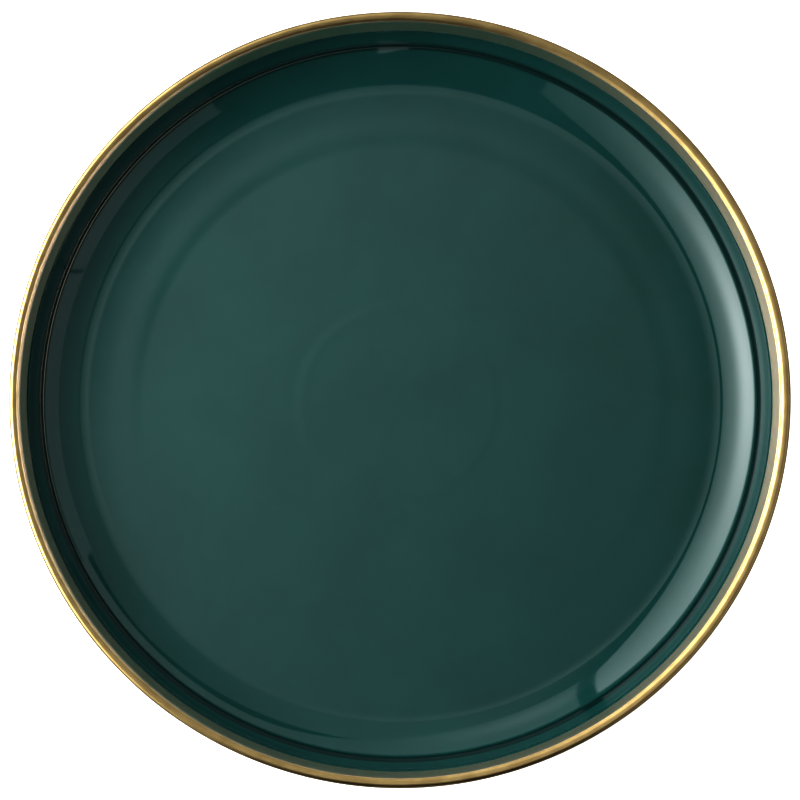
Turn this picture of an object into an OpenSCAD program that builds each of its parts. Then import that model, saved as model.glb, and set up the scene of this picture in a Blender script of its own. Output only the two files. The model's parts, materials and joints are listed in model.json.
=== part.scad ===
// China dinner plate: one fired body with a deep well and a foot ring, a gloss
// glaze over all of it but the edge that it stands on, and a gold band over the lip.
// Every piece is a turned section, spun about Z. Units are millimetres, +Z is up,
// and the origin is the centre of the plane that the foot ring stands on.

/* [Plate] */
// Diameter over the lip, coats included
plate_d = 260; // [210:1:320]
// Height from the foot ring's bearing face to the top of the lip, coats included
plate_h = 29; // [24:0.5:40]

/* [Body] */
// Thickness of the fired body at the floor of the well
floor_t = 4.0; // [3:0.1:6]
// Thickness of the fired body at the wall and the lip
wall_t = 2.6; // [2:0.1:4.5]
// Radius of the inside bend between the floor and the wall
bend_r = 20; // [12:0.5:24]
// Slope of the wall above the bend, in degrees from level
wall_slope = 73; // [60:1:85]

/* [Lip] */
// Radius of the lip's round on the inside
lip_inner_r = 1.45; // [0.6:0.05:1.45]
// Radius of the lip's round on the outside
lip_outer_r = 0.75; // [0.3:0.05:0.8]
// Lean of the flat between the two rounds towards the well, in degrees from level
lip_lean = 9; // [0:1:20]

/* [Foot ring] */
// How far the bearing face's outer edge stands in from where the outside bend begins
foot_inset = 19.2; // [6:1:60]
// Width of the face that the plate stands on
foot_w = 2.6; // [1.5:0.1:6]
// Height of the foot ring below the underside of the body
foot_h = 2.9; // [2.2:0.1:5]
// Lean of the foot ring's two sides, in degrees from upright
foot_draft = 22; // [5:1:35]
// Radius of the foot ring's two lower edges
foot_toe_r = 0.6; // [0.3:0.05:0.8]
// Radius where the foot ring's sides run into the underside
foot_fillet_r = 1.2; // [0.5:0.1:1.4]

/* [Coats] */
// Thickness of the glaze
glaze_t = 0.3; // [0.15:0.05:0.6]
// Thickness of the gold band over the glaze
gold_t = 0.12; // [0.1:0.01:0.2]
// How far the gold band runs down the inside of the wall from the lip's inner round
gold_inside = 7; // [1:0.1:12]
// How far the gold band runs down the outside of the wall from the lip's outer round
gold_outside = 3.4; // [1:0.1:8]
// Height of the bare strip at each side of the foot ring, up from its bearing face
bare_h = 1.1; // [0.9:0.1:1.6]
// Length over which a coat thins out to nothing at its edge
coat_taper = 0.5; // [0.2:0.1:1]

/* [Hidden] */

clay = [0.87, 0.84, 0.78];
green = [0.02, 0.13, 0.12];
gold = [0.83, 0.66, 0.33];

arc_step = 4;  // degrees of arc between the points of a round stretch
turn_fn = 180; // facets of a full turn where it is drawn as a mesh

// A surface is a list of spots in the section's plane, each a [place, outward normal].
function dir(angle) = [cos(angle), sin(angle)];
// A bulging arc, whose normals point away from its centre.
function bulge(centre, radius, from, to) =
    let (steps = max(2, ceil(abs(to - from) / arc_step)))
    [for (i = [0:steps]) let (a = from + (to - from) * i / steps) [centre + radius * dir(a), dir(a)]];
// A hollow arc, whose normals point at its centre.
function hollow(centre, radius, from, to) =
    [for (spot = bulge(centre, radius, from, to)) [spot[0], -spot[1]]];
function backwards(list) = [for (i = [len(list) - 1:-1:0]) list[i]];
// The point that lies at one distance along a direction and at another along a second.
function meet(first, first_at, second, second_at) =
    [first_at * second[1] - second_at * first[1], second_at * first[0] - first_at * second[0]]
    / (first[0] * second[1] - first[1] * second[0]);

// Distance along a surface from its first spot to each of its spots, and to its last.
function runs(surface) = [for (i = 0, run = 0; i < len(surface);
    run = run + (i + 1 < len(surface) ? norm(surface[i + 1][0] - surface[i][0]) : 0), i = i + 1) run];
function length_of(surface) = let (all = runs(surface)) all[len(all) - 1];
// The spot at a distance along a surface.
function spot_at(surface, run) =
    let (all = runs(surface), last = len(all) - 2)
    let (passed = [for (i = [0:last]) if (all[i] <= run) i], i = passed[len(passed) - 1])
    let (share = (run - all[i]) / (all[i + 1] - all[i]))
    let (normal = (1 - share) * surface[i][1] + share * surface[i + 1][1])
    [(1 - share) * surface[i][0] + share * surface[i + 1][0], normal / norm(normal)];
// The stretch of a surface between two distances along it.
function stretch(surface, from, to) =
    let (all = runs(surface), near = 0.001)
    concat([spot_at(surface, from)],
        [for (i = [0:len(all) - 1]) if (all[i] > from + near && all[i] < to - near) surface[i]],
        [spot_at(surface, to)]);
// A surface's places, and the same lifted off it along its normals.
function places(surface) = [for (spot = surface) spot[0]];
function lifted(surface, height) = [for (spot = surface) spot[0] + height * spot[1]];
// The outline of a coat that lies between two heights over a surface and thins out at its ends.
function coat(surface, under, over, start_taper, end_taper) =
    concat(lifted(surface, under),
        backwards(lifted(stretch(surface, start_taper, length_of(surface) - end_taper), over)));

// The bare body's levels.
coats_t = glaze_t + gold_t;
under_z = foot_h;
floor_z = under_z + floor_t;

// The lip's outer round sets the plate's width and height, and the wall's outer face touches it.
wall_out = dir(wall_slope - 90);
flat_up = dir(90 + lip_lean);
lip_outer_centre = [plate_d / 2 - coats_t - lip_outer_r, plate_h - coats_t - lip_outer_r];
outer_face = lip_outer_centre * wall_out + lip_outer_r;
inner_face = outer_face - wall_t;
// The inner round touches the wall's inner face, and the flat that comes in from the outer round.
// The two rounds take no more than the wall's thickness.
lip_in_r = min(lip_inner_r, wall_t - lip_outer_r);
lip_flat = lip_outer_centre * flat_up + lip_outer_r;
lip_inner_centre = meet(wall_out, inner_face + lip_in_r, flat_up, lip_flat - lip_in_r);

// The inside bend touches the floor and the wall's inner face. The outside bend touches the
// underside and the wall's outer face, a wall's thickness further from the bend's middle.
outer_bend_r = bend_r + wall_t;
bend_z = floor_z + bend_r;
outer_bend_z = under_z + outer_bend_r;
bend_x = (inner_face - bend_r + bend_z * cos(wall_slope)) / sin(wall_slope);
outer_bend_x = (outer_face - outer_bend_r + outer_bend_z * cos(wall_slope)) / sin(wall_slope);

// The foot ring's outer side touches its toe below and its fillet above.
foot_r = outer_bend_x - foot_inset;
side_out = dir(-foot_draft);
toe_centre = [foot_r, foot_toe_r];
fillet_z = under_z - foot_fillet_r;
fillet_x = (toe_centre * side_out + foot_toe_r + foot_fillet_r + fillet_z * sin(foot_draft)) / cos(foot_draft);
toe = bulge(toe_centre, foot_toe_r, -foot_draft, -90);
foot_outer_side = concat(hollow([fillet_x, fillet_z], foot_fillet_r, 90, 180 - foot_draft), toe);
// The inner side is the outer one, mirrored about the middle of the bearing face.
foot_inner_side = [for (spot = backwards(foot_outer_side))
    [[2 * foot_r - foot_w - spot[0][0], spot[0][1]], [-spot[1][0], spot[1][1]]]];

// The show surface runs from the axis over the floor, the wall and the lip, and down the
// outside to the bearing face. The recess surface runs from there up to the axis.
well_side = concat([[[0, floor_z], [0, 1]]], hollow([bend_x, bend_z], bend_r, -90, wall_slope - 90));
lip = concat(bulge(lip_inner_centre, lip_in_r, wall_slope + 90, 90 + lip_lean),
    bulge(lip_outer_centre, lip_outer_r, 90 + lip_lean, wall_slope - 90));
outside = concat(bulge([outer_bend_x, outer_bend_z], outer_bend_r, wall_slope - 90, -90), foot_outer_side);
show_surface = concat(well_side, lip, outside);
recess_surface = concat(foot_inner_side, [[[0, under_z], [0, -1]]]);

// The bare strip goes round the toe and up the foot ring's side.
toe_top = foot_toe_r * (1 - sin(foot_draft));
bare_run = length_of(toe) + (bare_h - toe_top) / cos(foot_draft);
glazed_surface = stretch(show_surface, 0, length_of(show_surface) - bare_run);
glazed_recess = stretch(recess_surface, bare_run, length_of(recess_surface));

// The gold band lies over the glaze, on the lip and down both sides of it.
lip_start = length_of(concat(well_side, [lip[0]]));
lip_end = lip_start + length_of(lip);
gilded_surface = stretch(show_surface, lip_start - gold_inside, lip_end + gold_outside);

module turned(outline) {
    rotate_extrude($fn = turn_fn) polygon(outline);
}

// The clay: floor, wall, lip and foot ring, fired as one piece.
module fired_body() {
    color(clay) turned(concat(places(show_surface), places(recess_surface)));
}

// The coloured gloss glaze of the well, the lip and the outside, down to the bare foot.
module green_glaze() {
    color(green) turned(coat(glazed_surface, 0, glaze_t, 0, coat_taper));
}

// The same glaze in the recess under the plate, parted from the rest by the bare foot.
module base_glaze() {
    color(green) turned(coat(glazed_recess, 0, glaze_t, coat_taper, 0));
}

// The gold, brushed over the glazed lip and fired on last.
module gold_band() {
    color(gold) turned(coat(gilded_surface, glaze_t, coats_t, coat_taper, coat_taper));
}

fired_body();
green_glaze();
base_glaze();
gold_band();
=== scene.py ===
"""A china dinner plate: a fired clay body, two coats of green glaze and a gold band. Units are metres."""
import json

import bpy
import numpy as np
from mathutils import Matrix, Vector


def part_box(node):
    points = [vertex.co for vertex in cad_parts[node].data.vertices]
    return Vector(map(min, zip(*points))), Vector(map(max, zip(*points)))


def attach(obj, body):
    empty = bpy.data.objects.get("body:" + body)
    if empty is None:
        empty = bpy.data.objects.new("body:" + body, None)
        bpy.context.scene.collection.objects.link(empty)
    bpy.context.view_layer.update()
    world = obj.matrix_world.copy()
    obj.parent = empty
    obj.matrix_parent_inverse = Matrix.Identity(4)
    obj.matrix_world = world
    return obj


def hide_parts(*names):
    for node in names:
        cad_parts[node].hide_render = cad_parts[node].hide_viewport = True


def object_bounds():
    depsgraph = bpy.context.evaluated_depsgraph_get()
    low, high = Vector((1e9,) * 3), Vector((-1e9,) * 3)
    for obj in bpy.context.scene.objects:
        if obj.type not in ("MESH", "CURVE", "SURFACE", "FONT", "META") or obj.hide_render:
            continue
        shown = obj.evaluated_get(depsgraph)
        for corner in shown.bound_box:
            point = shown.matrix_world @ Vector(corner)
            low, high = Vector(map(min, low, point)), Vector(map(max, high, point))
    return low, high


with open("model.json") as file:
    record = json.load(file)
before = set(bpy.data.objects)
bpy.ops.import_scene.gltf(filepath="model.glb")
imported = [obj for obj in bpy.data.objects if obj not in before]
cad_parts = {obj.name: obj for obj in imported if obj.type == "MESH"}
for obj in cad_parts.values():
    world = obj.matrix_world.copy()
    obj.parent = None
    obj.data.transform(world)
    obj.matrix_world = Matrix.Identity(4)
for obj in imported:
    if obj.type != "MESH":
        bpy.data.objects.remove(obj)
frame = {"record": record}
cad_low, cad_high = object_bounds()

# ------------------------------------------------------------------ fired clay body
# The plate itself is pale china clay: floor, wall, lip and foot ring, turned on a wheel and
# fired as one piece. The coats cover all of it but the foot ring's edge, where the clay shows.

mount_at = {mount["name"]: Vector(mount["pos_m"]) for mount in frame["record"]["mounts"]}
clay_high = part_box("fired_body")[1]
glaze_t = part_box("green_glaze")[1].z - clay_high.z
floor_z = mount_at["well_floor"].z - glaze_t
under_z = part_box("base_glaze")[1].z

wall_t = 0.0026
wall_slope = 73.0
bend_r = 0.020
foot_w = 0.0026
foot_draft = 22.0
toe_r = 0.0006
foot_fillet_r = 0.0012
lip_inner_r = 0.00145
lip_outer_r = 0.00075
lip_lean = 9.0
oval = 0.0034
oval_heading = np.radians(8)


def direction(degrees):
    """The unit vector at an angle in the section's plane: (cosine, sine)."""
    return np.array([np.cos(np.radians(degrees)), np.sin(np.radians(degrees))])


def arc(middle, radius, start, stop, hollow=False, step=1.0):
    """Spots on a round stretch of the section, one for each step of its turn. A spot is a place,
    middle + radius * direction, and its outward normal, which is turned round where it is hollow."""
    angle = np.linspace(start, stop, int(abs(stop - start) / step) + 2)
    out = direction(angle).T
    return np.hstack([np.asarray(middle) + radius * out, -out if hollow else out])


def run_along(surface):
    """Distance along a surface from its first spot to each spot: the sum of the steps between them."""
    steps = np.hypot(*np.diff(surface[:, :2], axis=0).T)
    return np.concatenate([[0], np.cumsum(steps)])


def spots_at(surface, run):
    """Places and unit normals at distances along a surface, each interpolated between its spots."""
    along = run_along(surface)
    at = np.stack([np.interp(run, along, column) for column in surface.T], -1)
    return at[..., :2], at[..., 2:] / np.linalg.norm(at[..., 2:], axis=-1, keepdims=True)


# The lip is a flat that leans inwards a little, between an inner and an outer round that touch the
# two faces of the wall. The bends touch the floor, the underside and those same two faces.
wall_out = direction(wall_slope - 90)
flat_up = direction(90 + lip_lean)
lip_outer_centre = np.array([clay_high.x - lip_outer_r, clay_high.z - lip_outer_r])
outer_face = lip_outer_centre @ wall_out + lip_outer_r
inner_face = outer_face - wall_t
flat_level = lip_outer_centre @ flat_up + lip_outer_r
lip_inner_centre = np.linalg.solve([wall_out, flat_up], [inner_face + lip_inner_r, flat_level - lip_inner_r])
rise, reach = wall_out[0], -wall_out[1]
outer_bend_r = bend_r + wall_t
bend_z = floor_z + bend_r
outer_bend_z = under_z + outer_bend_r
bend_x = (inner_face - bend_r + bend_z * reach) / rise
outer_bend_x = (outer_face - outer_bend_r + outer_bend_z * reach) / rise

# The foot ring's outer side runs from a fillet down to its toe, and its inner side is the mirror.
foot_r = mount_at["foot_ring"].x + foot_w / 2
side_out = direction(-foot_draft)
toe_centre = np.array([foot_r, toe_r])
fillet_z = under_z - foot_fillet_r
fillet_x = (toe_centre @ side_out + toe_r + foot_fillet_r - fillet_z * side_out[1]) / side_out[0]
toe = arc(toe_centre, toe_r, -foot_draft, -90, step=6)
foot_side = np.vstack([
    arc([fillet_x, fillet_z], foot_fillet_r, 90, 180 - foot_draft, hollow=True, step=4), toe])
foot_mirror = foot_side[::-1] * [-1, 1, -1, 1] + [2 * foot_r - foot_w, 0, 0, 0]

well_side = np.vstack([
    [[0, floor_z, 0, 1]], arc([bend_x, bend_z], bend_r, -90, wall_slope - 90, hollow=True)])
lip = np.vstack([
    arc(lip_inner_centre, lip_inner_r, wall_slope + 90, 90 + lip_lean, step=2),
    arc(lip_outer_centre, lip_outer_r, 90 + lip_lean, wall_slope - 90, step=4)])
outside = arc([outer_bend_x, outer_bend_z], outer_bend_r, wall_slope - 90, -90)
show_surface = np.vstack([well_side, lip, outside, foot_side])
recess_surface = np.vstack([foot_mirror, [[0, under_z, 0, -1]]])
show_end = run_along(show_surface)[-1]
recess_end = run_along(recess_surface)[-1]
lip_start = run_along(np.vstack([well_side, lip[:1]]))[-1]
lip_end = lip_start + run_along(lip)[-1]
foot_start = run_along(show_surface[:-len(foot_side) + 1])[-1]


def bump_at(radius, middle, width):
    """A smooth ridge across the radius, one high at its middle: a bell curve of that width."""
    return np.exp(-((radius - middle) / width) ** 2)


def thrown_relief(radius, heading):
    """Height of the rings that the turning tool left on the well's floor: bell-shaped ridges and
    furrows at a few radii, whose middle and height drift a little round the plate."""
    inner = radius + 0.0009 * np.cos(heading - 0.6)
    outer = radius + 0.0006 * np.cos(heading + 2.0)
    drift = 1 + 0.35 * np.cos(heading - 2.2) + 0.2 * np.cos(2 * heading + 0.7)
    rings = 0.018 * bump_at(inner, 0.0322, 0.0016) - 0.016 * bump_at(inner, 0.0356, 0.0018)
    rings = rings + 0.013 * bump_at(outer, 0.0860, 0.0030) - 0.010 * bump_at(outer, 0.0925, 0.0035)
    return 1e-3 * drift * rings


def turned(name, radius, level, poles=None):
    """A closed mesh from a section carried round the axis. The grids hold radius and level for each
    ring and heading. Four-sided faces join ring to ring, and a fan closes each end of the section
    on the axis at the levels in poles. Without poles the last ring joins the first. The plate dried
    a little oval, so each place moves towards the oval's long axis by a small share of its distance."""
    rings, around = radius.shape
    heading = np.linspace(0, 2 * np.pi, around, endpoint=False)
    aside = oval * radius * np.sin(heading - oval_heading)
    places = np.stack([radius * np.cos(heading) + aside * np.sin(oval_heading),
                       radius * np.sin(heading) - aside * np.cos(oval_heading), level], -1).reshape(-1, 3)
    ring = np.arange(rings if poles is None else rings - 1)[:, None]
    spoke = np.arange(around)
    after = (spoke + 1) % around
    next_ring = (ring + 1) % rings
    corners = [ring * around + spoke, next_ring * around + spoke,
               next_ring * around + after, ring * around + after]
    faces = np.stack(corners, -1).reshape(-1, 4).tolist()
    if poles is not None:
        last = (rings - 1) * around
        places = np.vstack([places, [[0, 0, poles[0]], [0, 0, poles[1]]]])
        top = np.full(around, rings * around)
        bottom = top + 1
        faces += np.stack([top, spoke, after], -1).tolist()
        faces += np.stack([bottom, last + after, last + spoke], -1).tolist()
    mesh = bpy.data.meshes.new(name)
    mesh.from_pydata(places, [], faces)
    mesh.shade_smooth()
    piece = bpy.data.objects.new(name, mesh)
    bpy.context.scene.collection.objects.link(piece)
    return piece


class Wire:
    """One shader socket. Arithmetic on it adds Math nodes, and node() adds a node of any type."""

    def __init__(self, tree, socket=None):
        self.tree, self.socket = tree, socket

    def node(self, kind, settings=None, inputs=None, out=0):
        """Adds a node, sets its settings, then fills its sockets with values or links."""
        made = self.tree.nodes.new("ShaderNode" + kind)
        for name, value in (settings or {}).items():
            setattr(made, name, value)
        for name, value in (inputs or {}).items():
            if isinstance(value, Wire):
                self.tree.links.new(value.socket, made.inputs[name])
            else:
                made.inputs[name].default_value = value
        return Wire(self.tree, made.outputs[out] if made.outputs else None)

    def output(self, out):
        """Another output of the node that the wire comes from."""
        return Wire(self.tree, self.socket.node.outputs[out])

    def math(self, operation, *values):
        """A Math node on the values, which are wires or numbers."""
        return self.node("Math", {"operation": operation}, dict(enumerate(values)))

    def __add__(self, other):
        return self.math("ADD", self, other)

    def __sub__(self, other):
        return self.math("SUBTRACT", self, other)

    def __rsub__(self, other):
        return self.math("SUBTRACT", other, self)

    def __mul__(self, other):
        return self.math("MULTIPLY", self, other)

    __radd__, __rmul__ = __add__, __mul__

    def ramp(self, start, stop):
        """0 below start, 1 above stop and a smooth step between them."""
        return self.node("MapRange", {"interpolation_type": "SMOOTHSTEP"}, {
            "Value": self, "From Min": start, "From Max": stop})

    def mixed(self, first, second):
        """The first colour where the wire is 0, the second where it is 1."""
        return self.node("Mix", {"data_type": "RGBA"}, {0: self, 6: first, 7: second}, out=2)


def new_material(name):
    """An empty node material, and a wire to start its nodes from."""
    material = bpy.data.materials.new(name)
    material.use_nodes = True
    material.node_tree.nodes.clear()
    return material, Wire(material.node_tree)


def finish_with(start, **sockets):
    """Ends a material in one Principled shader, whose sockets are given by name."""
    inputs = {name.replace("_", " "): value for name, value in sockets.items()}
    shader = start.node("BsdfPrincipled", {}, inputs)
    start.node("OutputMaterial", {}, {"Surface": shader})


def fired_clay():
    """Bare biscuit: ivory, dull and dry, with a fine grain, a clouded tone and a few iron specks."""
    material, start = new_material("fired_clay")
    place = start.node("TexCoord", out=3)
    grain = start.node("TexNoise", {}, {"Vector": place, "Scale": 2600.0, "Detail": 3.0})
    cloud = start.node("TexNoise", {}, {"Vector": place, "Scale": 90.0, "Detail": 4.0})
    speck = start.node("TexNoise", {}, {"Vector": place, "Scale": 900.0, "Detail": 1.0}).ramp(0.74, 0.80)
    pale = cloud.ramp(0.3, 0.7).mixed((0.62, 0.53, 0.42, 1), (0.78, 0.71, 0.60, 1))
    colour = speck.mixed(pale, (0.30, 0.20, 0.12, 1))
    bump = start.node("Bump", {}, {"Height": grain, "Strength": 0.45, "Distance": 0.00012})
    finish_with(start, Base_Color=colour, Roughness=0.72 + 0.2 * grain, Normal=bump)
    return material


# Rings stand close together where the section bends, and further apart where it is flat. The
# innermost ring is a little way from the axis, and the recess has fine rings on the foot's inner side.
clay_first_r = 0.0009
foot_side_run = 0.0052
clay_runs = np.concatenate([
    np.linspace(clay_first_r, bend_x, 130), np.linspace(bend_x, lip_start, 46)[1:],
    np.linspace(lip_start, lip_end, 16)[1:], np.linspace(lip_end, foot_start, 50)[1:],
    np.linspace(foot_start, show_end, 26)[1:]])
recess_runs = np.concatenate([
    np.linspace(0.0, foot_side_run, 26)[1:],
    np.linspace(foot_side_run, recess_end - clay_first_r, 40)[1:]])
clay_around = 240
clay_heading = np.linspace(0, 2 * np.pi, clay_around, endpoint=False)
clay_section = np.concatenate([
    spots_at(show_surface, clay_runs)[0], spots_at(recess_surface, recess_runs)[0]])
clay_radius = clay_section[:, :1] + 0 * clay_heading
clay_level = clay_section[:, 1:] + 0 * clay_heading
well_ring = (clay_runs < bend_x).sum()
clay_level[:well_ring] += thrown_relief(clay_radius[:well_ring], clay_heading)
clay_body = turned("clay_body", clay_radius, clay_level, poles=(floor_z, under_z))
clay_body.data.materials.append(fired_clay())
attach(clay_body, "root")
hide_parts("fired_body")

# ------------------------------------------------------------------ glaze under the base
# The recess inside the foot ring is glazed with the same green, poured in and swilled round.
# Its edge was wiped clean of the foot ring with a sponge, and rounded over when it melted.

base_edge_run = 0.00145
base_edge_roll = 0.0005
base_side_run = 0.0042
base_last_r = 0.003
wiped_waver = 0.00012
wiped_reach = 0.002
base_runs = base_edge_run + np.concatenate([
    base_edge_roll * (1 - np.cos(np.linspace(0, np.pi / 2, 9))),
    np.linspace(base_edge_roll, base_side_run, 22)[1:],
    np.linspace(base_side_run, recess_end - base_last_r, 44)[1:]])


def wander(heading, seed, size, slowest, fastest):
    """A wavering that closes on itself: cosines of the heading from the slowest wave to the fastest,
    with drawn heights that fall as the waves get shorter, and about size high in all."""
    drawn = np.random.default_rng(seed)
    total = np.zeros_like(heading)
    for wave in range(slowest, fastest + 1):
        total += drawn.normal() / np.sqrt(wave) * np.cos(wave * heading + drawn.uniform(0, 2 * np.pi))
    return size * total / np.abs(total).max()


def step_up(value, start_at, full_at):
    """0 before the start, 1 past the full value and a smooth step between them."""
    share_up = np.clip((value - start_at) / (full_at - start_at), 0, 1)
    return share_up * share_up * (3 - 2 * share_up)


def rolled(distance, roll):
    """Share of its full thickness that a melted coat has at a distance from its edge: it rises as
    a quarter of a circle over the roll, and stays full beyond it."""
    inward = np.clip(distance / roll, 0, 1)
    return np.sqrt(1 - (1 - inward) ** 2)


def glaze_colour(place):
    """The green of the glaze: clouded where the coat melted unevenly."""
    cloud = place.node("TexNoise", {}, {"Vector": place, "Scale": 34.0, "Detail": 3.0, "Roughness": 0.6})
    return cloud.ramp(0.25, 0.75).mixed((0.0108, 0.0550, 0.0512, 1), (0.0124, 0.0628, 0.0585, 1))


def base_glaze():
    """The same green melt, a little rougher where it was left as it ran."""
    material, start = new_material("green_base_glaze")
    place = start.node("TexCoord", out=3)
    ripple = start.node("TexNoise", {}, {"Vector": place, "Scale": 160.0, "Detail": 2.0})
    bump = start.node("Bump", {}, {"Height": ripple, "Strength": 0.25, "Distance": 0.0002})
    finish_with(start, Base_Color=glaze_colour(place), Roughness=0.06 + 0.08 * ripple, IOR=1.5, Normal=bump)
    return material


base_around = 240
base_heading = np.linspace(0, 2 * np.pi, base_around, endpoint=False)
base_wiped = wander(base_heading, 11, wiped_waver, 3, 40)
base_fade = np.clip(1 - (base_runs - base_edge_run) / wiped_reach, 0, 1)[:, None]
base_at, base_normal = spots_at(recess_surface, base_runs[:, None] + base_fade * base_wiped)
base_lift = glaze_t * rolled(base_runs - base_edge_run, base_edge_roll)[:, None, None]
base_over = base_at + base_lift * base_normal
base_under = base_at[-1:0:-3]
base_section = np.concatenate([base_under, base_over])
base_coat = turned("base_glaze_coat", base_section[..., 0], base_section[..., 1],
                   poles=(under_z, under_z - glaze_t))
base_coat.data.materials.append(base_glaze())
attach(base_coat, "root")
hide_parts("base_glaze")

# ------------------------------------------------------------------ green glaze
# The coloured gloss of the well, the wall, the lip and the outside, sprayed on and melted to a
# glassy coat. It ends in a rounded edge where it was wiped off the foot ring.

bare_run = 0.00145
edge_roll = 0.0005
coat_end = show_end - bare_run
glaze_first_r = 0.0012
# The line of painted shade round the bend: the slope it centres on, its half width in degrees and its soft
# edge.
shade_slope = 50
shade_reach = 5.5
shade_blend = 2.5


def green_glaze():
    """A glassy green: nearly a mirror, clouded and speckled, and darkened by painted shade in one line round
    the bend.
    """
    material, start = new_material("green_gloss_glaze")
    place = start.node("TexCoord", out=3)
    painted_bend_shade = start.node("Attribute", {"attribute_name": "painted_bend_shade"}, out=2)
    cell = start.node("TexVoronoi", {}, {"Vector": place, "Scale": 110.0})
    drawn = start.node("SeparateColor", {}, {"Color": cell.output(1)})
    pin = drawn.ramp(0.90, 0.91) * (1 - cell.ramp(0.010, 0.018))
    ripple = start.node("TexNoise", {}, {"Vector": place, "Scale": 55.0, "Detail": 1.0})
    smear = start.node("TexNoise", {}, {"Vector": place, "Scale": 220.0, "Detail": 3.0})
    # Painted shade: the green turns nearly black along the line round the bend that the shade attribute
    # marks.
    colour = painted_bend_shade.mixed(glaze_colour(place), (0.0030, 0.023, 0.022, 1))
    colour = pin.mixed(colour, (0.12, 0.17, 0.15, 1))
    bump = start.node("Bump", {}, {"Height": ripple - 0.5 * pin, "Strength": 0.10, "Distance": 0.0001})
    finish_with(start, Base_Color=colour, Roughness=0.03 + 0.03 * smear, IOR=1.5, Normal=bump)
    return material


glaze_runs = np.concatenate([
    np.linspace(glaze_first_r, bend_x, 112), np.linspace(bend_x, lip_start, 62)[1:],
    np.linspace(lip_start, lip_end, 24)[1:], np.linspace(lip_end, foot_start, 42)[1:],
    np.linspace(foot_start, coat_end - edge_roll, 14)[1:],
    coat_end - edge_roll * np.cos(np.linspace(0, np.pi / 2, 7))[1:]])
glaze_around = 320
glaze_heading = np.linspace(0, 2 * np.pi, glaze_around, endpoint=False)
glaze_wiped = wander(glaze_heading, 12, wiped_waver, 3, 50)
glaze_fade = np.clip(1 - (coat_end - glaze_runs) / wiped_reach, 0, 1)[:, None]
glaze_at, glaze_normal = spots_at(show_surface, glaze_runs[:, None] + glaze_fade * glaze_wiped)
glaze_lift = glaze_t * rolled(coat_end - glaze_runs, edge_roll)[:, None, None]
in_well = (glaze_runs < bend_x)[:, None]
glaze_rings = np.where(in_well, thrown_relief(glaze_at[..., 0], glaze_heading), 0)[..., None] * glaze_normal
glaze_over = glaze_at + glaze_lift * glaze_normal + glaze_rings
glaze_under = (glaze_at + glaze_rings)[-2::-6]
glaze_section = np.concatenate([glaze_over, glaze_under])
glaze_coat = turned("green_glaze_coat", glaze_section[..., 0], glaze_section[..., 1],
                    poles=(floor_z + glaze_t, floor_z))

# Painted shade: the glaze is coloured darker in one line round the bend, centred where the bend has reached a
# certain slope, where the glossy bend is in shade and mirrors the dark far wall and low room.
bend_slope = np.degrees((glaze_runs - bend_x) / bend_r)
painted_shade_share = step_up(shade_reach - np.abs(bend_slope - shade_slope), 0, shade_blend)
painted_bend_shade = np.concatenate([painted_shade_share, np.zeros(len(glaze_under))])[:, None] + 0 * glaze_heading
painted_bend_shade = np.concatenate([painted_bend_shade.ravel(), [0, 0]])
glaze_coat.data.attributes.new("painted_bend_shade", "FLOAT", "POINT").data.foreach_set("value", painted_bend_shade.astype(np.float32))
glaze_coat.data.materials.append(green_glaze())
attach(glaze_coat, "root")
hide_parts("green_glaze")

# ------------------------------------------------------------------ gold band
# Liquid bright gold, brushed by hand over the glazed lip while the plate turned on a banding
# wheel, then fired on. Its edges waver, and it is thinnest where the brush left the wall.

gold_t = cad_high.z - glaze_t - clay_high.z
gold_inside = 0.0070
gold_outside = 0.0034
gold_feather = 0.0005
bead_up = 0.00070
bead_swing = 0.00050
bead_half = 0.00017
bead_t = 0.00009
inner_set_back = 0.0006
inner_swing = 0.0004
inner_swing_turn = 0.5
outer_set_back = 0.00020
feather_power = 0.7
gold_sunk = 0.00003
thick_past = 0.00015
thin_before = 0.0001
inner_rows = 16
bead_rows = 15
outer_rows = 34


def fired_gold():
    """Satin gold: a metal with fine brush lines round the lip, and paler where the film is thin."""
    material, start = new_material("fired_gold")
    place = start.node("TexCoord", out=3)
    thin = start.node("Attribute", {"attribute_name": "thin"}, out=2)
    across = start.node("Attribute", {"attribute_name": "across"}, out=2)
    split = start.node("SeparateXYZ", {}, {"Vector": place})
    round_lip = 110.0
    across_lip = 4200.0
    brushed = start.node("CombineXYZ", {}, {
        "X": split.output(0) * round_lip, "Y": split.output(1) * round_lip, "Z": across * across_lip})
    lines = start.node("TexNoise", {}, {"Vector": brushed, "Scale": 1.0, "Detail": 2.0})
    grain = start.node("TexNoise", {}, {"Vector": place, "Scale": 1500.0, "Detail": 2.0})
    cloud = start.node("TexNoise", {}, {"Vector": place, "Scale": 160.0, "Detail": 2.0})
    rich = cloud.ramp(0.3, 0.7).mixed((0.34, 0.262, 0.130, 1), (0.41, 0.322, 0.165, 1))
    colour = thin.mixed(rich, (0.94, 0.77, 0.61, 1))
    height = 0.6 * lines + 0.4 * grain
    bump = start.node("Bump", {}, {"Height": height, "Strength": 0.28, "Distance": 0.00008})
    finish_with(start, Base_Color=colour, Metallic=1.0, Roughness=0.26 + 0.14 * grain, Normal=bump)
    return material


gold_around = 960
gold_heading = np.linspace(0, 2 * np.pi, gold_around, endpoint=False)
inner_edge = lip_start - gold_inside + inner_set_back \
    - inner_swing * np.cos(gold_heading + inner_swing_turn) + wander(gold_heading, 21, 0.00013, 2, 90)
outer_edge = lip_end + gold_outside - outer_set_back + wander(gold_heading, 22, 0.00018, 2, 70)
bead_at = lip_start + bead_up - bead_swing * np.cos(gold_heading) \
    + wander(gold_heading, 23, 0.00010, 5, 200)

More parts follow.
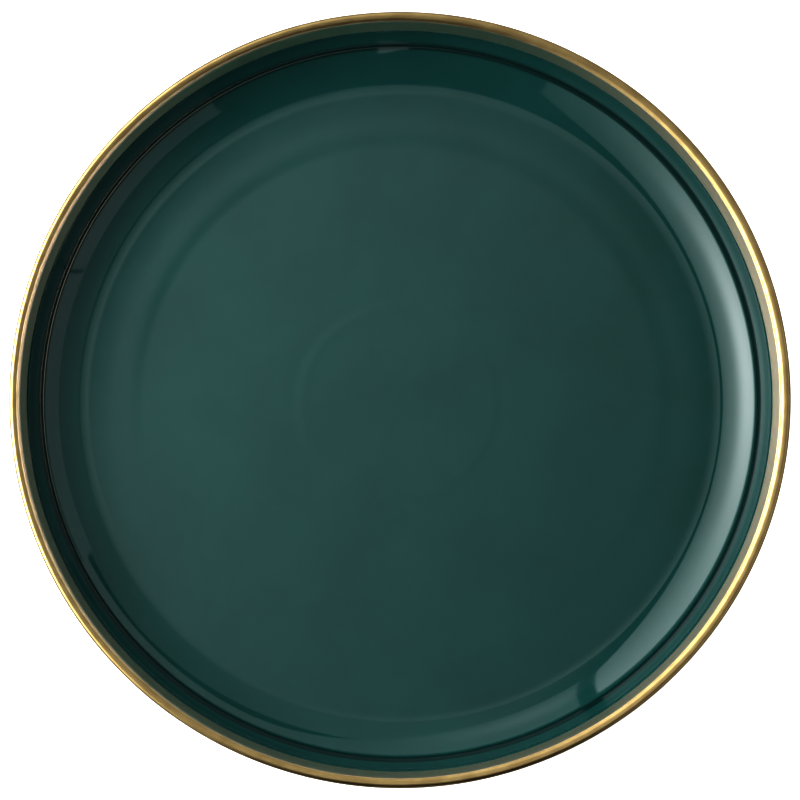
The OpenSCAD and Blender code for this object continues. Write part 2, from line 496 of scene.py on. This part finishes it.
# Rows across the band: they crowd towards its two edges, and a fine set of them crosses the bead
# of gold that the brush left where its stroke ended.
inner_share = np.linspace(0, 1, inner_rows) ** 1.4
outer_share = 1 - (1 - np.linspace(0, 1, outer_rows)) ** 1.2
gold_runs = np.vstack([
    inner_edge + (bead_at - bead_half - inner_edge) * inner_share[:, None],
    bead_at + bead_half * np.linspace(-1, 1, bead_rows)[1:-1, None],
    bead_at + bead_half + (outer_edge - bead_at - bead_half) * outer_share[:, None]])
to_edge = np.minimum(gold_runs - inner_edge, outer_edge - gold_runs)
gold_at, gold_normal = spots_at(show_surface, gold_runs)
feathered = np.clip(to_edge / gold_feather, 0, 1)
film = gold_t * feathered ** feather_power
film += bead_t * np.cos(np.pi / 2 * np.clip((gold_runs - bead_at) / bead_half, -1, 1)) ** 2
gold_lift = glaze_t - gold_sunk + (film + gold_sunk * feathered)
gold_over = gold_at + gold_lift[..., None] * gold_normal
gold_under = (gold_at + (glaze_t - 2 * gold_sunk) * gold_normal)[::-3]
gold_section = np.concatenate([gold_over, gold_under])
gold_coat = turned("gold_band_coat", gold_section[..., 0], gold_section[..., 1])
across = np.concatenate([gold_runs, gold_runs[::-3]]).ravel() - lip_start
past_bead = np.concatenate([gold_runs - bead_at, (gold_runs - bead_at)[::-3]]).ravel()
thin = step_up(-past_bead, -thick_past, thin_before)
for name, values in (("across", across), ("thin", thin)):
    gold_coat.data.attributes.new(name, "FLOAT", "POINT").data.foreach_set("value", values.astype(np.float32))
gold_coat.data.materials.append(fired_gold())
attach(gold_coat, "root")
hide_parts("gold_band")

# ------------------------------------------------------------------ table, soft lights and camera
# None of this is part of the plate: a lit white table, curved sheets of soft light that stand
# round it as in a light tent, and a camera almost straight above it with a long lens.

table_half = 90
table_corners = [(-table_half, -table_half, 0), (table_half, -table_half, 0),
                 (table_half, table_half, 0), (-table_half, table_half, 0)]
table_mesh = bpy.data.meshes.new("table")
table_mesh.from_pydata(table_corners, [], [(0, 1, 2, 3)])
table = bpy.data.objects.new("table", table_mesh)
bpy.context.scene.collection.objects.link(table)
table_white, start = new_material("table_white")
finish_with(start, Base_Color=(0.35, 0.35, 0.35, 1), Roughness=0.8,
            Emission_Color=(1, 1, 1, 1), Emission_Strength=start.node("LightPath") * 1.2)
table.data.materials.append(table_white)

glowing, start = new_material("soft_light")
glow_wire = start.node("Attribute", {"attribute_name": "glow"}, out=2)
start.node("OutputMaterial", {}, {"Surface": start.node("Emission", {}, {"Strength": glow_wire})})
bend_middle_x = bend_x + 0.6 * bend_r
bend_middle_z = floor_z + 0.2 * bend_r


def bell(value, middle, width):
    """A smooth hump, one high at its middle: a bell curve of that width."""
    return np.exp(-((value - middle) / width) ** 2 / 2)


def even(value):
    """A sheet's edge or brightness that is the same all over."""
    return lambda heading, angle=None: value + 0 * heading


def glowing_sheet(name, places, glow):
    """A sheet of light that the camera doesn't see, from a grid of places. Four-sided faces join the
    grid's neighbours, and each place has its own brightness."""
    columns, rows = glow.shape
    number = np.arange(columns * rows).reshape(columns, rows)
    corners = [number[:-1, :-1], number[1:, :-1], number[1:, 1:], number[:-1, 1:]]
    mesh = bpy.data.meshes.new(name)
    mesh.from_pydata(places.reshape(-1, 3), [], np.stack(corners, -1).reshape(-1, 4).tolist())
    mesh.attributes.new("glow", "FLOAT", "POINT").data.foreach_set("value", glow.ravel().astype(np.float32))
    mesh.materials.append(glowing)
    sheet = bpy.data.objects.new(name, mesh)
    sheet.visible_camera = False
    bpy.context.scene.collection.objects.link(sheet)


def soft_light(name, headings, low, high, away, glow, columns=64, rows=48):
    """An upright curved sheet of light. low, high and glow are functions of the heading and of the
    height angle at which the far side of the plate's bend sees a spot. The spot is away from the
    axis, and its height is that distance and the bend's own times the tangent of the angle."""
    heading = np.linspace(*headings, columns)[:, None]
    angle = low(heading) + (high(heading) - low(heading)) * np.linspace(0, 1, rows)
    turn = np.radians(heading)
    up = bend_middle_z + (away + bend_middle_x) * np.tan(np.radians(angle))
    places = np.stack([away * np.cos(turn) + 0 * up, away * np.sin(turn) + 0 * up, up], -1)
    glowing_sheet(name, places, glow(heading, angle) + 0 * up)


def key_top(heading):
    """The key light's top edge: nearly level, rounded off at both sides."""
    left = np.clip((150 - heading) / 33, 0, 1)
    right = np.clip((heading - 180) / 63, 0, 1)
    return 74.0 - 25 * left ** 4 - 11 * left ** 2 - 16 * right ** 2 - 20 * right ** 8


def key_glow(heading, angle):
    """The key light's brightness: a hot middle over a broad glow that fades upwards and sideways."""
    up = (away_key + bend_middle_x) * np.tan(np.radians(angle))
    broad = 7.2 * np.exp(-up / 1.5) * bell(heading, 168, np.where(heading < 168, 52, 37))
    core = 7.5 * bell(heading, 181, 17) * bell(up, 0.26, 0.17)
    return (broad + core) * step_up(angle, 5, 11)


away_key = 0.40
soft_light("key_light", (120.5, 243), even(3), key_top, away_key, key_glow)
soft_light("side_card_near", (305, 343), even(7), even(37), 0.55,
           lambda h, a: 0.85 + 0.4 * step_up(h, 310, 335))
soft_light("side_card_far", (343.6, 392), even(7), even(37), 0.56, even(1.25))
soft_light("back_card", (392, 477.5), even(4), lambda h: 20 + 32 * step_up(h, 425, 465), 0.55,
           lambda h, a: 1.2 + 0.4 * step_up(h, 440, 460) + 1.2 * bell(h, 470, 8) * bell(a, 36, 9))
soft_light("slit", (268.6, 274), even(3), lambda h: 9 + 8 * step_up(h, 269.5, 273), 0.6, even(1.5))


def ceiling_glow(x, y):
    """The ceiling's brightness over the plate: a soft disc, brighter to the left and the back, on a
    dim room that is darkest on the camera's own side."""
    away_from_middle = np.hypot(x / 0.9, y - 0.13)
    disc = step_up(away_from_middle, 0.36, 0.28) * (1.22 - 2.0 * x + 1.05 * y)
    heading = np.degrees(np.arctan2(y, x)) % 360
    around = np.abs((heading - 35 + 180) % 360 - 180)
    from_front = (heading + 90) % 360
    walls = 0.45 + 0.25 * step_up(from_front, 50, 95) + 0.35 * step_up(from_front, 145, 170)
    return np.maximum(disc, walls * step_up(around, 95, 65) * step_up(np.hypot(x, y), 0.30, 0.45) + 0.03)


ceiling_z = 2.2
ceiling_half = 3
ceiling_line = np.linspace(-ceiling_half, ceiling_half, 241)
ceiling_x, ceiling_y = np.meshgrid(ceiling_line, ceiling_line, indexing="ij")
ceiling_places = np.stack([ceiling_x, ceiling_y, ceiling_z + 0 * ceiling_x], -1)
glowing_sheet("ceiling", ceiling_places, ceiling_glow(ceiling_x, ceiling_y))

world = bpy.data.worlds.new("room")
world.use_nodes = True
world.node_tree.nodes.clear()
room = Wire(world.node_tree)
seen = room.node("LightPath")
room.node("OutputWorld", {}, {"Surface": room.node("Background", {}, {
    "Color": (1, 1, 1, 1), "Strength": seen * 0.95 + 0.05})})
bpy.context.scene.world = world

camera_away = 1.3
camera_tilt = 4.6
camera_data = bpy.data.cameras.new("camera")
camera = bpy.data.objects.new("camera", camera_data)
back = Vector((0, -np.sin(np.radians(camera_tilt)), np.cos(np.radians(camera_tilt))))
camera.location = Vector((0, 0, cad_high.z)) + camera_away * back
camera.rotation_euler = back.to_track_quat("Z", "Y").to_euler()
camera_data.lens = 176.0
camera_data.shift_y = -0.0041
camera_data.clip_start, camera_data.clip_end = 0.05, 200
bpy.context.scene.collection.objects.link(camera)
bpy.context.scene.camera = camera
bpy.context.scene.view_settings.view_transform = "Standard"
bpy.context.scene.view_settings.gamma = 0.61
